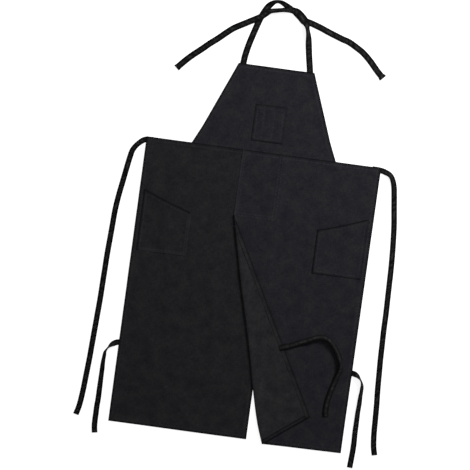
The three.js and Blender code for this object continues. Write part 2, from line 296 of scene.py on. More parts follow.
def tape(name, route, width, body, held=0.0, roll=((0, 0),), lift=((0, 0),),
         wide=((0, 1),), lit_face=0.0):
    """A strap along its route, (x, y) in mm. It stands on held, a height or one of x and y. It is
    turned by roll degrees about its own line, and lifted and widened, by distance along it. The last
    argument is how much paler its middle and its left edge are painted, a painted highlight for a
    face turned to the lamp, with wider painted shade at its right edge."""
    line = smooth(route, 2.5)
    along = distances(line)
    whole = along[-1]
    turn = np.radians(eased(along, roll))
    breadth = width * eased(along, wide)
    depth = TAPE * (1 + 0.45 * (along > whole - FREE_END))
    chance = np.random.default_rng(len(name) + round(whole))
    swell, drift, calm = (sum(np.sin(along / chance.uniform(7, 30) + chance.uniform(0, 6))
                              for _ in range(4)) / 4 for _ in range(3))
    if callable(held):
        held = held(*line.T)
    height = (held + eased(along, lift) + 0.1 + 0.35 * (1 + swell) * (along > 30)
              + 0.5 * (breadth * abs(np.sin(turn)) + PUFF * depth * abs(np.cos(turn))))
    centre = np.column_stack([line, height])
    ahead = unit(np.gradient(centre, axis=0))
    flat = unit(np.cross((0, 0, 1), ahead))
    rise = np.cross(ahead, flat)
    c, s = np.cos(turn)[:, None], np.sin(turn)[:, None]
    side, face = flat * c + rise * s, rise * c - flat * s
    ring = SECTION + [(a, -h) for a, h in reversed(SECTION)]
    rings, dark = [], []
    for a, h in ring:
        # Slanting wrinkles, where the folded layers have slipped on each other.
        fold = np.sin(along / 3.1 + 3 * a + 9 * drift) * (1 - a * a) * (0.6 + 0.8 * calm)
        rings.append(centre + side * (a * breadth / 2)[:, None]
                     + face * (h * depth / 2 + 0.25 * fold * abs(fold))[:, None])
        # Painted shade along both edges, painted highlights on the wrinkles' crests and painted shade
        # in their hollows; a lit face is painted paler.
        edge_shade = np.clip((abs(a) - 0.15 - lit_face * a) / 0.55, 0, 1)
        shown = 0.25 - lit_face - (1 - 2 * lit_face) * fold
        dark.append(np.clip(edge_shade + shown * (1 - edge_shade), -0.35, 1))
    points = np.stack(rings, axis=1)
    n, k = points.shape[:2]
    faces = [[i * k + j, i * k + (j + 1) % k, (i + 1) * k + (j + 1) % k, (i + 1) * k + j]
             for i in range(n - 1) for j in range(k)]
    faces += [list(range(k))[::-1], list(range((n - 1) * k, n * k))]
    chart = np.stack(np.broadcast_arrays(along[:, None], [a * width / 2 for a, _ in ring]), axis=2)
    made = piece(name + "_tape", points.reshape(-1, 3), faces, chart.reshape(-1, 2), tape_twill,
                 np.stack(dark, axis=1).ravel())
    edges = [centre + side * (a * breadth / 2)[:, None] + face * (0.62 * depth / 2)[:, None]
             for a in (-SEWN_AT, SEWN_AT)]
    across = [centre[i] + side[i] * (a * breadth[i] / 2) + face[i] * 0.95 * depth[i] / 2
              for i in [np.searchsorted(along, whole - FREE_END + 3)] for a in (-0.75, 0, 0.75)]
    sewn = stitching(name + "_stitching", [*edges, across])
    for part in (made, sewn):
        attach(part, body)
    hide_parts(name)
    return made


def from_point(origin, *steps):
    """A route in mm from its points, which are measured from the origin."""
    return [(origin[0] + x, origin[1] + y) for x, y in steps]


SIDE = 356  # the legs' outer edges
WAIST = 306
TOP = 561  # the bib's upper edge
WAIST_TIE_Y = 297.6
LEG_TIE_Y = -324
tape("waist_tie_left", from_point(
    (-SIDE, WAIST_TIE_Y), (19, 1), (8, 0), (-4, -1), (-15, -7), (-29, -21), (-40, -39), (-45, -61),
    (-49, -85), (-56, -132), (-63, -179), (-68, -225), (-70, -272), (-72, -318), (-74, -364),
    (-75, -411), (-76, -457), (-77, -503), (-79, -549), (-81, -595), (-83, -642), (-85, -688),
    (-88, -734), (-91, -781), (-96, -827), (-103, -857)),
    TIE_WIDTH, "skirt", roll=((0, 0), (26, 0), (52, 16), (100, 0)))
tape("waist_tie_right", from_point(
    (SIDE, WAIST_TIE_Y), (-22, 2), (-10, 2), (4, 1), (17, -2), (33, -9), (43, -22), (50, -42),
    (54, -66), (60, -112), (66, -157), (70, -202), (73, -248), (75, -294), (76, -339), (77, -385),
    (78, -431), (78, -477), (79, -523), (80, -569), (82, -615), (84, -661), (87, -706),
    (89, -752), (91, -798), (95, -834), (101, -859)),
    TIE_WIDTH, "skirt", roll=((0, 0), (34, 0), (62, -20), (110, 0)))
tape("leg_tie_left", from_point(
    (-SIDE, LEG_TIE_Y), (18, 0), (7, 0), (-2, -1), (-11, -3), (-22, -10), (-32, -20), (-39, -33),
    (-41, -48), (-42, -66), (-42, -87), (-42, -108), (-42, -130), (-42, -154), (-42, -179),
    (-43, -201), (-43, -225), (-43, -247), (-42, -265), (-39, -283)),
    TIE_WIDTH, "skirt",
    roll=((0, 0), (28, 0), (60, 76), (84, 46), (130, 28), (220, 10), (300, 0)))
tape("leg_tie_right", from_point(
    (SIDE, LEG_TIE_Y), (-20, 0), (-9, 0), (1, 0), (10, -2), (20, -8), (29, -18), (34, -31),
    (35, -47), (34, -67), (34, -91), (33, -113), (33, -137), (33, -159), (33, -183), (34, -205),
    (34, -229), (33, -251), (32, -269), (31, -285)),
    TIE_WIDTH, "skirt",
    roll=((0, 0), (18, 0), (54, -74), (82, -45), (130, -28), (220, -12), (300, 0)))
# The neck straps are tied in a half knot. The left one stays down, and the right one wraps over it.
tape("neck_strap_left", from_point(
    (0, TOP), (-101, -15), (-99, -6), (-97.5, 8), (-95, 31), (-88, 66), (-76, 110), (-66, 143),
    (-55, 169), (-45, 186), (-32, 198), (-20, 203), (-7, 202), (7, 196), (20, 190), (37, 180),
    (55, 167), (70, 158), (92, 152), (120, 143), (146, 133), (189, 118), (212, 111), (235, 99),
    (258, 85), (283, 63), (308, 36), (329, 16)),
    NECK_WIDTH, "bib",
    roll=((0, 0), (205, 0), (242, 62), (272, 24), (298, 0)),
    wide=((0, 1), (205, 1), (242, 0.85), (335, 0.8), (352, 1), (635, 1), (640, 1.2)))
tape("neck_strap_right", from_point(
    (0, TOP), (112, -15), (109, -6), (106, 8), (102, 29), (98, 49), (92, 84), (88, 109), (83, 128),
    (76, 146), (68, 157), (52, 172), (38, 181), (22, 184), (0, 180), (-19, 176), (-36, 172),
    (-50, 163), (-66, 150), (-87, 138), (-113, 123), (-140, 107), (-162, 89), (-184, 69),
    (-206, 51), (-228, 31), (-250, 12), (-272, -9), (-297, -37)),
    NECK_WIDTH, "bib",
    roll=((0, 0), (92, 0), (150, 46), (174, 0), (222, 0), (262, 40), (292, 34), (318, 0)),
    lift=((0, 0), (140, 0), (174, 3), (214, 2.6), (240, 0), (292, 0), (312, 2.2), (334, 2.2),
          (360, 0)),
    wide=((0, 1), (164, 1), (182, 1.34), (208, 1.34), (228, 1), (622, 1), (628, 1.08)))


# How the cloth lies. The heights of all that is laid so far are kept on a net 2 mm apart, and each
# piece of cloth is laid over them: it bridges small dips and bends softly over edges underneath.
CELL = 2
net_x, net_y = np.arange(-384, 385, CELL), np.arange(-600, 601, CELL)
NET = np.meshgrid(net_x, net_y)
laid = np.zeros(NET[0].shape)


def spanned(reach):
    """The laid heights as a limp sheet follows them, bending over steps within reach."""
    n = max(1, round(reach / CELL))
    table, weights = laid, np.hanning(2 * n + 3)[1:-1]
    for axis in (0, 1):
        table = np.max([np.roll(table, k, axis) for k in range(-n, n + 1)], axis=0)
    for axis in (0, 1):
        moved = [np.roll(table, k, axis) for k in range(-n, n + 1)]
        table = np.tensordot(weights / weights.sum(), moved, 1)
    return table


def height(table, x, y):
    """A table's height at any place, between the points of the net."""
    i = np.clip((y - net_y[0]) / CELL, 0, len(net_y) - 1.01)
    j = np.clip((x - net_x[0]) / CELL, 0, len(net_x) - 1.01)
    a, b = i.astype(int), j.astype(int)
    u, v = i - a, j - b
    return ((1 - u) * ((1 - v) * table[a, b] + v * table[a, b + 1])
            + u * ((1 - v) * table[a + 1, b] + v * table[a + 1, b + 1]))


def inside(outline, x, y):
    found = np.zeros(x.shape, bool)
    for (ax, ay), (bx, by) in zip(outline, np.roll(outline, -1, axis=0)):
        if ay != by:
            found ^= ((ay > y) != (by > y)) & (x < (bx - ax) * (y - ay) / (by - ay) + ax)
    return found


def mark(outline, top):
    """Notes what now lies inside an outline, up to its top."""
    global laid
    found = inside(np.asarray(outline, float), *NET)
    laid = np.where(found, np.maximum(laid, top), laid)


def resting(reach, gap, *lifts):
    """A cloth's underside over all that is laid now, raised further by lifts, each of x and y."""
    table = spanned(reach) + gap
    return lambda x, y: height(table, x, y) + sum(lift(x, y) for lift in lifts)


def sewn_at_waist(lying):
    """The same underside, but brought down at the waist, where the legs are sewn to the bib."""
    table = spanned(2) + 0.12

    def under(x, y):
        free = ease(np.clip((WAIST - 2 - y) / 22, 0, 1))
        return free * lying(x, y) + (1 - free) * height(table, x, y)
    return under


TURN = 6.283  # radians


def waves(seed, high):
    """The gentle unevenness of cloth that was folded and shaken out, from 0 to high."""
    chance = np.random.default_rng(seed)
    kinds = [(chance.uniform(75, 230), chance.uniform(0, math.pi), chance.uniform(0, 6.3))
             for _ in range(9)]

    def lift(x, y):
        total = sum(np.sin(TURN * (x * math.cos(a) + y * math.sin(a)) / length + start)
                    for length, a, start in kinds)
        return high * (0.5 + 0.5 * np.tanh(total / 2.1))
    return lift


def ridge(a, b, width, high):
    """A soft fold from a to b that fades at both ends."""
    def lift(x, y):
        run = np.subtract(b, a)
        long = math.hypot(*run)
        t = ((x - a[0]) * run[0] + (y - a[1]) * run[1]) / long**2
        off = ((x - a[0]) * run[1] - (y - a[1]) * run[0]) / long
        fade = np.clip(1 - (2 * t - 1) ** 2, 0, 1)
        return high * fade**1.5 * np.exp(-((off / width) ** 2))
    return lift


def nearest(a, b, x, y):
    """Where on the line from a to b is nearest to a place, from 0 to 1, and how far away it is."""
    run = np.subtract(b, a)
    t = np.clip(((x - a[0]) * run[0] + (y - a[1]) * run[1]) / (run @ run), 0, 1)
    return t, np.hypot(x - a[0] - t * run[0], y - a[1] - t * run[1])


def seams(*lines):
    """How far rows of stitching, each through its points, draw the face of the cloth down. The
    cloth puckers about every 11 mm, and puffs up a little between puckers."""
    def pull(x, y):
        drawn, puffed = 0.0, 0.0
        for line in lines:
            for a, b in zip(line[:-1], line[1:]):
                t, off = nearest(a, b, x, y)
                long = math.dist(a, b)
                pucker = 0.75 + 0.25 * np.sin(t * long * TURN / 11 + 2 * np.sin(t * long / 23))
                drawn = np.maximum(drawn, THREAD * pucker * np.exp(-((off / 1.5) ** 2)))
                puffed = np.maximum(puffed, 0.3 * (1 - pucker) * np.exp(-((off / 6) ** 2)))
        return drawn - puffed
    return pull


CLOTH = 0.75  # the twill's thickness
HEM = 12
HEM_CLEAR = HEM + 0.3  # where the next hem starts at a corner
STITCHED = 10  # how far in from the edge a hem is stitched
PROUD = 0.03  # how far thread stands off the cloth
RIM = 22  # the border of a piece, where its net is closer
NEAR_EDGE = [0, 0.45, 1.8, 3.6, 6, 8, 9, 10, 11, 12.2, 14.5, 18, RIM]


def lines(low, high, pitch=5.0, extra=()):
    """Places from low to high, close together by the edges and by extra rows of stitching."""
    found = [*(low + d for d in NEAR_EDGE), *(high - d for d in NEAR_EDGE)]
    around = [e + d for e in extra for d in (-6, -3.5, -2, -1, 0, 1, 2, 3.5, 6)]
    found += [a for a in around if low + RIM < a < high - RIM]
    wanted = np.linspace(low + RIM, high - RIM, max(2, round((high - low - 2 * RIM) / pitch)) + 1)
    found += [w for w in wanted if all(abs(w - e) > 6 + pitch / 2 for e in extra)]
    return np.unique(np.round(found, 3))


def fitted(places, low, high):
    """The same lines from another low to another high, still as far from the nearer edge."""
    low, high = np.asarray(low, float)[:, None], np.asarray(high, float)[:, None]
    a, b = places[0] + RIM, places[-1] - RIM
    rim = RIM * np.minimum(1, (high - low) / (3 * RIM))
    middle = low + rim + np.clip((places - a) / (b - a), 0, 1) * (high - low - 2 * rim)
    return np.where(places < a, low + (places - places[0]) * rim / RIM,
                    np.where(places > b, high - (places[-1] - places) * rim / RIM, middle))


def sheet_mesh(name, upper, lower, chart, material, dark=0.0):
    """A closed sheet between two nets of points."""
    n, m = upper.shape[:2]
    index = np.arange(n * m).reshape(n, m)
    quads = np.stack([index[:-1, :-1], index[:-1, 1:], index[1:, 1:], index[1:, :-1]], axis=2)
    quads = quads.reshape(-1, 4)
    rim = np.concatenate([index[0], index[1:, -1], index[-1, -2::-1], index[-2:0:-1, 0]])
    after = np.roll(rim, -1)
    walls = np.stack([rim, rim + n * m, after + n * m, after], axis=1)
    faces = np.concatenate([quads, quads[:, ::-1] + n * m, walls]).tolist()
    points = np.concatenate([upper.reshape(-1, 3), lower.reshape(-1, 3)])
    flat = chart.reshape(-1, 2)
    dark = np.tile(np.broadcast_to(dark, (n, m)).ravel(), 2)
    return piece(name, points, faces, np.concatenate([flat, flat]), material, dark)


def cloth(name, place, under, pull=None, chart=None, material=None,
          edges=(0.95, 0.95, 0.95, 0.95)):
    """Lays a piece of cloth and notes it. place is its net of x and y, under its underside's height
    there, and pull how far stitching draws its face down, where it is painted paler as a painted
    highlight. Its edges are rounded, and edges is how much painted shade they have, below 0 a painted
    highlight: foot, head, left and right."""
    x, y = place[..., 0], place[..., 1]
    low = under(x, y)
    drawn = pull(x, y) if pull else np.zeros(x.shape)
    high = low + CLOTH - drawn
    # Painted highlight along the rows of stitching, then painted shade along each edge.
    dark = -0.5 * np.clip(drawn, 0, 1)
    sides = (np.s_[:1], np.s_[-1:], np.s_[:, :1], np.s_[:, -1:])
    for edge, deep in zip(sides, edges):
        low[edge] += 0.22 * CLOTH
        high[edge] = np.maximum(high[edge] - 0.22 * CLOTH, low[edge] + 0.1)
        off = np.linalg.norm(place - place[edge], axis=2)
        near = np.exp(-((off / 4.2) ** 2))
        dark = dark * (1 - near) + deep * near
    made = sheet_mesh(name, np.dstack([x, y, high]), np.dstack([x, y, low]),
                      place if chart is None else chart, material or twill, dark)
    outline = np.concatenate([place[0], place[1:, -1], place[-1, -2::-1], place[-2:0:-1, 0]])
    keep = np.append(True, np.linalg.norm(np.diff(outline, axis=0), axis=1) > 0.3)
    mark(outline[keep], under(*NET) + CLOTH)
    return made


def net(xs, ys):
    """A net of places from rows of x, one row for each y."""
    xs, ys = np.broadcast_arrays(xs, np.asarray(ys, float)[:, None])
    return np.dstack([xs, ys])


def even(line, step):
    """The points of a line of straight runs, about step apart, and closer at its ends."""
    line = np.asarray(line, float)
    along = distances(line)
    runs = np.linspace(0, along[-1], round(along[-1] / step) + 2)
    at = np.unique([0, 0.45, along[-1] - 0.45, *runs])
    return points_at(at, along, line)


def inset(line, far):
    """A line moved sideways by far, to the left of the way that it runs."""
    ahead = unit(np.gradient(np.asarray(line, float), axis=0))
    return line + far * np.column_stack([-ahead[:, 1], ahead[:, 0]])


def strip(name, edge, under, pull=None, edges=(0.5, 0.5, 0.95, 0.5), node=None):
    """A turned hem on the left of the edge that it follows, through the edge's points. It stands
    for the node of its name, or for another node."""
    edge = even(edge, 6)
    across = (0, 0.45, 2, 4.5, 7, 9, 10, 11, HEM - 0.45, HEM)
    place = np.stack([inset(edge, far) for far in across], axis=1)
    made = cloth(name + "_cloth", place, under, pull, None, twill_back, edges)
    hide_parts(node or name)
    return made


def row(a, b, face):
    """The points of a straight row of stitching on a face, whose height is face(x, y)."""
    t = np.linspace(0, 1, max(2, round(math.dist(a, b) / 4)))
    x, y = a[0] + t * (b[0] - a[0]), a[1] + t * (b[1] - a[1])
    return np.column_stack([x, y, face(x, y)])


def rows_through(lines, face):
    """The same for lines that turn corners: the points of each line's straight runs."""
    return [np.vstack([row(a, b, face) for a, b in zip(line[:-1], line[1:])]) for line in lines]


def on(under, pull):
    """Where thread lies on the face of a cloth."""
    return lambda x, y: under(x, y) + CLOTH - pull(x, y) + PROUD


def behind(under):
    """Where thread lies on the underside of a cloth."""
    return lambda x, y: under(x, y) - PROUD


# The sewn-in ends of the four side ties and of the two neck straps lie under the hems.
SEWN_IN = 20
for way in (-1, 1):
    for y in (WAIST_TIE_Y, LEG_TIE_Y):
        x_in, x_out = (SIDE - SEWN_IN) * way, (SIDE + 3) * way
        mark([(x_in, y - 8), (x_out, y - 8), (x_out, y + 8), (x_in, y + 8)], TAPE + 0.1)
for x in (-99, 109):
    mark([(x - 10, TOP - 16), (x + 10, TOP - 16), (x + 8, TOP + 4), (x - 12, TOP + 4)], TAPE + 0.1)

# The cloth is a tightly woven cotton twill, dyed black and washed: quite matt, with a faint blue
# cast where it is densest. Its ribs are 0.9 mm apart, and are drawn wider so that they show.
RIB = 2.4
twill = weave("black cotton twill", "#131218", "#1b1b1d", RIB, 0.25, 36, 0.9, 0.05)
# The left leg is cut from another part of the bolt, and its dye is a little deeper and less blue.
twill_deeper = weave("black cotton twill, deeper dye", "#121215", "#1a1a1b", RIB, 0.25, 36, 0.9,
                     0.05)
# The wrong side of the same cloth, flatter and a little greyer.
twill_back = weave("black cotton twill, wrong side", "#151518", "#1f1f20", RIB, 0.18, 36, 0.93,
                   0.05)


# The bib. It narrows from the waist to a straight top, its sides and top are turned under 12 mm and
# stitched, and its foot is seamed under the tops of the legs. It leans a little to the right.
BIB_TOP = 565
BIB_HALF = 221  # at the waist
BIB_LEAN = 4.5
BIB_FOOT = WAIST - 12  # the legs' tops lap over it
BIB_TOP_HALF = 116
FLARE = np.array([(BIB_HALF, WAIST), (208, WAIST + 28), (195, WAIST + 57)])  # a Bezier's points
flare_at = np.linspace(0, 1, 9)[:, None]
flare = ((1 - flare_at) ** 2 * FLARE[0] + 2 * flare_at * (1 - flare_at) * FLARE[1]
         + flare_at**2 * FLARE[2])
bib_side = np.vstack([flare, [(BIB_TOP_HALF, BIB_TOP)]])
bib_up = lines(BIB_FOOT, BIB_TOP)
lean = BIB_LEAN * (bib_up - WAIST) / (BIB_TOP - WAIST)
half = np.interp(bib_up, bib_side[:, 1], bib_side[:, 0])
right_edge = np.column_stack([lean + half, bib_up])
left_edge = np.column_stack([lean - half, bib_up])
bib_floor = resting(4, 0.3)
side_rows = [inset(right_edge, STITCHED)[3:-3], inset(left_edge, -STITCHED)[3:-3]]
top_rows = [np.array([(left_edge[-1, 0] + 3, BIB_TOP - STITCHED),
                      (right_edge[-1, 0] - 3, BIB_TOP - STITCHED)])]
waist_rows = [np.array([(-BIB_HALF + 8, WAIST + 4), (BIB_HALF - 8, WAIST + 4)])]
bib_rows = [*side_rows, *top_rows, *waist_rows]
bib_pull = seams(*(line[::4] if len(line) > 8 else line for line in bib_rows))
bib_hems = [
    strip("bib_right_hem", right_edge, bib_floor),
    strip("bib_left_hem", left_edge[::-1], bib_floor),
    strip("bib_top_hem", [(right_edge[-1, 0] - HEM - 1.5, BIB_TOP),
                          (left_edge[-1, 0] + HEM + 1.5, BIB_TOP)], bib_floor),
    strip("waist_seam_allowance", [(-BIB_HALF + 26, WAIST + 0.4), (BIB_HALF - 26, WAIST + 0.4)],
          bib_floor),
]
bib_under = resting(6, 0.1, waves(53, 1.2), ridge((-120, 330), (-60, 520), 14, 1.2),
                    ridge((150, 330), (80, 500), 13, 1.0))
bib_place = net(fitted(lines(-BIB_HALF, BIB_HALF), left_edge[:, 0], right_edge[:, 0]), bib_up)
bib = cloth("bib_cloth", bib_place, bib_under, bib_pull)
bib_stitches = stitching("bib_stitching", rows_through(bib_rows, on(bib_under, bib_pull)))
bib_back_stitches = stitching(
    "bib_back_stitching", rows_through([*side_rows, *top_rows], behind(bib_floor)), up=-1)
# The bib's pieces stay where they are laid, and the imported bib panel is hidden.
for part in (bib, *bib_hems, bib_stitches, bib_back_stitches):
    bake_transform(part)
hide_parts("bib_panel")


# What the patch pockets share. All but their mouths is turned in and stitched down in two rows.
PATCH_ROWS = (2, 8.5)  # how far in from its edge a pocket is stitched


def patch_rim(x, y, left, right, foot):
    """How far in from a patch's sewn edges a place is."""
    return np.minimum(np.minimum(x - left, right - x), y - foot)


def patch_rise(rim, below, turned, bulge, flutter):
    """How far a patch stands off what it is sewn to, rim in from its edges and below its mouth. Its
    edges are turned in for so far, and at its mouth it stands on its hem and then bulges."""
    def within(far, edge):
        return 1 / (1 + np.exp((far - edge) / 1.5))

    gape = 0.85 * within(below, HEM + 1) + bulge
    return np.clip(rim / 2.5, 0, 1) * (np.maximum(0.55 * within(rim, turned), gape) + flutter)


def patch_rows(left, right, foot, mouth):
    """The rows of stitching round a patch. mouth(x) is how high its mouth is."""
    return [[(right - d, mouth(right - d) - 2), (right - d, foot + d), (left + d, foot + d),
             (left + d, mouth(left + d) - 2)] for d in PATCH_ROWS]


# The chest pocket. It has a straight mouth, and two rows of stitching from mouth to foot part it
# into slots for brushes and pens.
CHEST_LEFT, CHEST_RIGHT, CHEST_FOOT, CHEST_MOUTH = -43.5, 53.5, 337, 449
SLOTS = [CHEST_LEFT + 30, CHEST_LEFT + 61]
chest_table, chest_flutter = resting(5, 0.15), waves(61, 0.6)


def chest_under(x, y):
    rim = patch_rim(x, y, CHEST_LEFT, CHEST_RIGHT, CHEST_FOOT)
    below = np.clip(CHEST_MOUTH - y, 0, 400)
    walls = [CHEST_LEFT, *SLOTS, CHEST_RIGHT]
    bulge = sum(np.where((x > a) & (x < b), np.sin(math.pi * (x - a) / (b - a)) ** 2, 0)
                for a, b in zip(walls[:-1], walls[1:]))
    bulge = bulge * (0.35 + 1.3 * np.exp(-((below / 26) ** 2)))
    return chest_table(x, y) + patch_rise(rim, below, 10, bulge, chest_flutter(x, y))


chest_hem = strip("chest_pocket_hem", [(CHEST_RIGHT - 0.5, CHEST_MOUTH),
                  (CHEST_LEFT + 0.5, CHEST_MOUTH)], resting(4, 0.2))
hem_row = CHEST_MOUTH - STITCHED
chest_rows = [*patch_rows(CHEST_LEFT, CHEST_RIGHT, CHEST_FOOT, lambda x: CHEST_MOUTH),
              *([(x, CHEST_FOOT + 3), (x, CHEST_MOUTH - 2)] for x in SLOTS),
              [(CHEST_LEFT + 2, hem_row), (CHEST_RIGHT - 2, hem_row)]]
chest_pull = seams(*chest_rows)
chest_place = net(lines(CHEST_LEFT, CHEST_RIGHT, extra=SLOTS), lines(CHEST_FOOT, CHEST_MOUTH))
chest_pocket = cloth("chest_pocket_cloth", chest_place, chest_under, chest_pull,
                     edges=(0.5, 0.6, 0.5, 0.45))
chest_stitches = stitching(
    "chest_pocket_stitching", rows_through(chest_rows, on(chest_under, chest_pull)))
# All but the mouth's hem is stitched through to the back of the bib.
chest_back_stitches = stitching(
    "chest_pocket_back_stitching", rows_through(chest_rows[:-1], behind(bib_under)), up=-1)
for part in (chest_pocket, chest_hem, chest_stitches, chest_back_stitches):
    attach(part, "bib")
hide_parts("chest_pocket")


# The left leg. It is one panel from the waist to the foot, with its side, foot and inner edge
# turned under 12 mm and stitched, and its top turned under outside the bib. It lies on the ground.
LEFT_SIDE, LEFT_FOOT = -359, -565.8
LAP = 64  # each leg goes so far past the middle
LEG_TOP = WAIST + 0.2
SPLIT = 104  # the split's top
left_rows = [
    [(LEFT_SIDE + STITCHED, LEFT_FOOT + 3), (LEFT_SIDE + STITCHED, LEG_TOP - 2)],
    [(LEFT_SIDE + 3, LEFT_FOOT + STITCHED), (LAP - 2, LEFT_FOOT + STITCHED)],
    [(LAP - STITCHED, LEFT_FOOT + 3), (LAP - STITCHED, SPLIT)],
    [(LEFT_SIDE + 3, LEG_TOP - 3), (-LAP, LEG_TOP - 3)],
    [(LEFT_SIDE + 3, LEG_TOP - STITCHED), (-LAP, LEG_TOP - STITCHED)],
]
left_pull = seams(*left_rows)
floor = resting(4, 0.35)
left_hems = [
    strip("left_side_hem", [(LEFT_SIDE, LEG_TOP), (LEFT_SIDE, LEFT_FOOT)], floor),
    strip("left_foot_hem", [(LEFT_SIDE + HEM_CLEAR, LEFT_FOOT), (LAP - HEM_CLEAR, LEFT_FOOT)],
          floor, node="left_bottom_hem"),
    strip("left_inner_hem", [(LAP, LEFT_FOOT), (LAP, LEG_TOP)], floor, node="left_split_hem"),
    strip("left_waist_hem", [(-BIB_HALF, LEG_TOP), (LEFT_SIDE + HEM_CLEAR, LEG_TOP)], floor),
]
left_under = sewn_at_waist(resting(
    6, 0.1, waves(11, 1.5), ridge((-300, 250), (-210, -300), 16, 1.6),
    ridge((-120, 120), (-60, -420), 22, 1.8), ridge((-330, -180), (-180, -520), 14, 1.3)))
left_leg = cloth("left_leg_cloth",
                 net(lines(LEFT_SIDE, LAP, extra=[-LAP]), lines(LEFT_FOOT, LEG_TOP)),
                 left_under, left_pull, material=twill_deeper, edges=(0.95, 0.7, 0.95, 0.95))
left_leg_stitches = stitching(
    "left_leg_stitching", rows_through(left_rows, on(left_under, left_pull)))
for part in (*left_hems, left_leg, left_leg_stitches):
    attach(part, "skirt")
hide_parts("left_skirt_panel")


# The right leg. It laps 128 mm over the left one and is stitched down to it in a box as deep as the
# split's top. From there down its inner corner is turned back over a soft, unpressed crease, so the
# cloth stands up in a roll along it. Its foot hangs a little lower than the left one's.
RADIUS = 3.3  # of the roll's middle
CREASE_STEP = 10  # about how far apart the points of the crease are
HINGE = next(j["pos_m"][2] for j in frame["joints"] if j["name"] == "corner_unfold") / MM
crease = inset(smooth([(-65, SPLIT), (-57.5, 76), (-37.6, -10), (-5.4, -138), (21, -234),
                       (61.5, -402), (88.8, -505), (113.2, -573)], CREASE_STEP), RADIUS)
RUN = distances(crease)
FOOT = -561.5  # before it hangs down
RIGHT_TOP, RIGHT_FOOT = 360, 354.5  # how far right the side is
HANGS_BY, LEVELS_BY = 11.5, 3.9  # by the split, and how much less at the side
HANGS_FROM, HANG_REACH, FOOT_WIDTH = -100, 461, 240


def near_crease(x, y):
    """The distance from the middle of the roll, and how far along it the nearest place is."""
    best, place = np.full(np.shape(x), 1e9), np.zeros(np.shape(x))
    for a, b, start in zip(crease[:-1], crease[1:], RUN):
        t, off = nearest(a, b, x, y)
        nearer = off < best
        best = np.where(nearer, off, best)
        place = np.where(nearer, start + t * CREASE_STEP, place)
    return best, place


def inner_side(y):
    """The right leg's left edge: straight down to the split's top, then along the roll."""
    return np.where(y > SPLIT, -LAP, np.interp(y, crease[::-1, 1], crease[::-1, 0]))


def hang(x, y):
    """How far down a place on the right leg comes: its foot hangs lower, most by the split."""
    drop = HANGS_BY - LEVELS_BY * (x - crease[-1, 0]) / FOOT_WIDTH
    return y - drop * ease(np.clip((HANGS_FROM - y) / HANG_REACH, 0, 1))


INNER_FOOT = (crease[-1, 0], hang(crease[-1, 0], FOOT))
OUTER_FOOT = (RIGHT_FOOT, hang(RIGHT_FOOT, FOOT))
BOX_ROWS = (SPLIT + 3, SPLIT + 10)
box = ([(-LAP + 2.5, BOX_ROWS[0]), (LAP - 2, BOX_ROWS[0])],
       [(-LAP + 10, BOX_ROWS[1]), (LAP - 10, BOX_ROWS[1])])
right_rows = [
    [(OUTER_FOOT[0] - STITCHED, OUTER_FOOT[1] + 3), (RIGHT_TOP - STITCHED, LEG_TOP - 2)],
    [(INNER_FOOT[0] + 4, INNER_FOOT[1] + STITCHED), (OUTER_FOOT[0] - 3, OUTER_FOOT[1] + STITCHED)],
    *box,
    *([(x, y), (x, LEG_TOP - 4)] for line in box for x, y in line),
    [(-LAP + 2, LEG_TOP - 3), (RIGHT_TOP - 3, LEG_TOP - 3)],
    [(-LAP + 2, LEG_TOP - STITCHED), (RIGHT_TOP - 3, LEG_TOP - STITCHED)],
]
right_pull = seams(*right_rows)
over_left = resting(4, 0.15)
right_hems = [
    strip("right_side_hem", [OUTER_FOOT, (RIGHT_TOP, LEG_TOP)], over_left),
    strip("right_foot_hem", [(INNER_FOOT[0] + 1, INNER_FOOT[1]),
          (OUTER_FOOT[0] - HEM_CLEAR, OUTER_FOOT[1])], over_left, node="right_bottom_hem"),
    # The overlap hem's edges get only light painted shade.
    strip("right_overlap_hem", [(-LAP + 3, LEG_TOP), (-LAP + 3, SPLIT + 2)], over_left,
          edges=(0.3, 0.3, 0.3, 0.3)),
    strip("right_waist_hem", [(RIGHT_TOP - HEM_CLEAR, LEG_TOP), (BIB_HALF, LEG_TOP)], over_left),
]
right_waves = waves(23, 1.5)


def sewn_down(x, y):
    """The waves fade out towards the overlap's edge, which curls down onto the left leg."""
    curl = np.clip(1 - (x + LAP) / 3, 0, 1) * np.clip((y - SPLIT) / 12, 0, 1)
    return right_waves(x, y) * np.clip((x + LAP) / 40, 0, 1) - 0.85 * curl


right_plain = sewn_at_waist(resting(
    10, 0.1, sewn_down, ridge((250, 230), (190, -200), 18, 1.6),
    ridge((40, 60), (150, -330), 20, 1.2), ridge((300, -160), (230, -540), 15, 1.5)))
# The lower cloth's middle stands this high along the roll. The roll is smaller by the split's top.
roll_low = np.maximum(HINGE - RADIUS + 1.1 * np.exp(-RUN / 40),
                      right_plain(*crease.T) + CLOTH / 2)


def right_under(x, y):
    flat = right_plain(x, y)
    off, run = near_crease(x, y)
    return flat + (np.interp(run, RUN, roll_low) - CLOTH / 2 - flat) * np.exp(-((off / 15) ** 2))


level = lines(FOOT, LEG_TOP, extra=BOX_ROWS)
across = lines(-LAP, RIGHT_TOP, extra=[LAP - 2, LAP - 10])
side_at = RIGHT_TOP + (RIGHT_FOOT - RIGHT_TOP) * (LEG_TOP - level) / (LEG_TOP - FOOT)
right_place = net(fitted(across, inner_side(level), side_at), level)
right_chart = right_place.copy()
right_place[..., 1] = hang(right_place[..., 0], right_place[..., 1])
# The inner edge hangs lower as well, so it is brought back onto the roll.
slip = inner_side(right_place[:, 0, 1]) - right_place[:, 0, 0]
from_roll = right_place[..., 0] - right_place[:, :1, 0]
right_place[..., 0] += slip[:, None] * np.clip(1 - from_roll / 60, 0, 1)
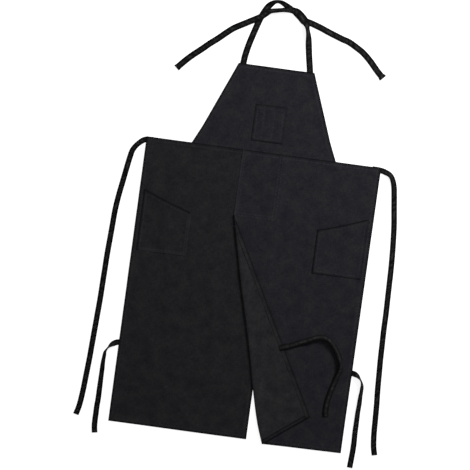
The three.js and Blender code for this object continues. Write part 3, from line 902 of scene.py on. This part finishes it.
# Its edges are painted with shade, but its left edge over the left leg gets a painted highlight
# instead.
right_leg = cloth("right_leg_cloth", right_place, right_under, right_pull, right_chart,
                  edges=(0.95, 0.7, -0.2, 0.95))
right_leg_stitches = stitching(
    "right_leg_stitching", rows_through(right_rows, on(right_under, right_pull)))
for part in (*right_hems, right_leg, right_leg_stitches):
    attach(part, "skirt")
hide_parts("right_skirt_panel")


# The roll of cloth along the crease. It turns half round, from the leg up to the turned corner.
turns = np.linspace(0, math.pi, 13)
run = lines(0, RUN[-1], 6)
middle = points_at(run, RUN, crease)
outward = inset(middle, -1) - middle
radius = HINGE - np.interp(run, RUN, roll_low)


def rolled(far):
    """The roll's points, far outside its middle."""
    size = (radius + far)[:, None, None]
    sideways = middle[:, None] + outward[:, None] * size * np.sin(turns)[:, None]
    return np.dstack([sideways, HINGE - size[..., 0] * np.cos(turns)])


roll_chart = np.dstack(np.broadcast_arrays(middle[:, :1] - radius[:, None] * turns, middle[:, 1:]))
roll = sheet_mesh("crease_roll", rolled(CLOTH / 2), rolled(-CLOTH / 2), roll_chart, twill_back)
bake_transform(roll)


# The turned-back corner. It is the same panel, wrong side up, so the hems of its split edge and
# foot lie on top with their cut edges turned in. It settles onto the leg beyond the roll.
TIP = (247, -472)
corner_run = run[run > 14]
inner = points_at(corner_run, RUN, crease)
SPLIT_END = np.array([-LAP + 1, SPLIT - 1])  # where the split edge meets the crease
outer = SPLIT_END + (corner_run / RUN[-1])[:, None] * (TIP - SPLIT_END)
wide = np.linalg.norm(outer - inner, axis=1)
far = fitted(lines(0, wide[-1]), np.zeros(len(wide)), wide)
corner_place = inner[:, None] + far[..., None] * ((outer - inner) / wide[:, None])[:, None]
corner_chart = np.dstack(np.broadcast_arrays(inner[:, :1] - far, inner[:, 1:]))
on_leg = resting(8, 0.2, waves(31, 1.3), ridge((-20, -40), (170, -420), 26, 1.2))


def corner_under(x, y):
    flat = on_leg(x, y)
    off, run = near_crease(x, y)
    top = 2 * HINGE - np.interp(run, RUN, roll_low) - CLOTH / 2
    return flat + (top - flat) * np.exp(-((off / 17) ** 2))


foot_line, split_line = [inner[-1], outer[-1]], [outer[-1], outer[3]]
corner_rows = [inset(np.array(line, float), STITCHED) for line in (foot_line, split_line)]
corner_pull = seams(*corner_rows)
# Rows run down the corner, so its net is turned to run up, as the other pieces' do.
corner = cloth("turned_corner_cloth", corner_place[::-1], corner_under, corner_pull,
               corner_chart[::-1], twill_back, edges=(0.95, 0.1, 0.1, 0.95))
on_corner = resting(3, 0.1)
# The hems' edges are painted with shade, most at their outer edges and least at their inner cut
# edges.
corner_hems = [
    strip("turned_corner_split_hem", split_line, on_corner, corner_pull, (0.5, 0.2, 0.8, 0.05)),
    strip("turned_corner_foot_hem",
          [inner[-1], outer[-1] - (outer[-1] - inner[-1]) * (HEM + 1) / wide[-1]],
          on_corner, corner_pull, (0.3, 0.8, 0.95, 0.9), "turned_corner_bottom_hem"),
]
corner_stitches = stitching(
    "turned_corner_stitching", rows_through(corner_rows, on(on_corner, corner_pull)))
corner_front_stitches = stitching(
    "turned_corner_front_stitching", rows_through(corner_rows, behind(corner_under)), up=-1)
for part in (corner, *corner_hems, corner_stitches, corner_front_stitches):
    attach(part, "turned_corner")
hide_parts("turned_corner")


# The side pockets. Each is a patch on its leg with a slanting, hemmed mouth.
POCKET_FOOT, POCKET_FRONT, POCKET_SIDE = -39, 193, 344
MOUTH_FRONT, MOUTH_SIDE = 94, 147  # the mouth's height at its two ends
MOUTH_SAG = 9  # four times how far its middle sags


def mouth(x):
    """The height of the mouth's edge, which sags a little between its ends."""
    t = (x - POCKET_FRONT) / (POCKET_SIDE - POCKET_FRONT)
    return MOUTH_FRONT + t * (MOUTH_SIDE - MOUTH_FRONT) - MOUTH_SAG * t * (1 - t)


def side_pocket(name, side, seed, material, edges):
    """One side pocket with its hem, on the right for side 1 and on the left for -1."""
    def mirrored(points):
        points = np.array(points, float)[..., :2] * (side, 1)
        return points[:, ::-1] if side < 0 and points.ndim == 3 else points

    table, flutter = resting(5, 0.15), waves(seed, 0.7)

    def under(x, y):
        x = side * x
        across = np.clip((x - POCKET_FRONT) / (POCKET_SIDE - POCKET_FRONT), 0, 1)
        rim = patch_rim(x, y, POCKET_FRONT, POCKET_SIDE, POCKET_FOOT)
        below = np.clip(mouth(x) - y, 0, 400)
        bulge = 3.4 * np.sin(math.pi * across) ** 2 * np.exp(-((below / 34) ** 2))
        return table(side * x, y) + patch_rise(rim, below, 11, bulge, flutter(x, y))

    columns = lines(POCKET_FRONT, POCKET_SIDE)
    hem_line = mirrored([(x, mouth(x)) for x in (columns[::-1] if side > 0 else columns)[1:-1]])
    hem_piece = strip(f"{name}_side_pocket_hem", hem_line, lambda x, y: table(x, y) + 0.1)
    ups = fitted(lines(POCKET_FOOT, 130), np.full(len(columns), POCKET_FOOT), mouth(columns)).T
    place = mirrored(np.dstack(np.broadcast_arrays(columns, ups)))
    outline = patch_rows(POCKET_FRONT, POCKET_SIDE, POCKET_FOOT, mouth)
    top_row = [(x, mouth(x) - STITCHED) for x in columns[2:-2:4]]
    rows = [mirrored(line) for line in (*outline, top_row)]
    pull = seams(*rows)
    patch = cloth(f"{name}_side_pocket_cloth", place, under, pull, None, material, edges=edges)
    stitches = stitching(f"{name}_side_pocket_stitching", rows_through(rows, on(under, pull)))
    for part in (hem_piece, patch, stitches):
        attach(part, "skirt")
    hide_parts(f"{name}_side_pocket")


# Each pocket's edges, foot, head, left and right, are painted with shade: most at the gaping mouth
# and on the left sides, away from the lamp, least on the right sides; the left pocket's foot and
# right edge get a slight painted highlight.
side_pocket("left", -1, 41, twill_deeper, (-0.15, 0.95, 0.6, -0.05))
side_pocket("right", 1, 43, twill, (0.35, 0.95, 0.85, 0.4))


# The right leg's inner tie. It is sewn to the wrong side of the split hem, so it lies on top of the
# turned-back corner. It arches over the leg partly on its edge, and its end lies flat.
INNER_EXIT = (139.3, -272.6)
tape("leg_tie_inner", from_point(
    INNER_EXIT, (-11, -4), (-4, -2), (4, 1), (17, 5), (35, 13), (54, 22), (74, 31), (92, 40),
    (111, 45), (129, 42), (144, 31), (156, 17), (167, 0), (175, -17), (179, -34), (178, -50),
    (173, -64), (169, -79), (165, -95), (160, -112), (156, -130), (153, -146), (152, -162),
    (152, -177), (154, -191)),
    TIE_WIDTH, "turned_corner", held=resting(8, 0.1),
    roll=((0, 0), (40, 0), (110, -28), (160, -45), (215, -30), (240, -60), (262, -20), (300, 0)),
    # Its face turned to the lamp is painted paler, with wider painted shade along its inner edge.
    lit_face=0.3)
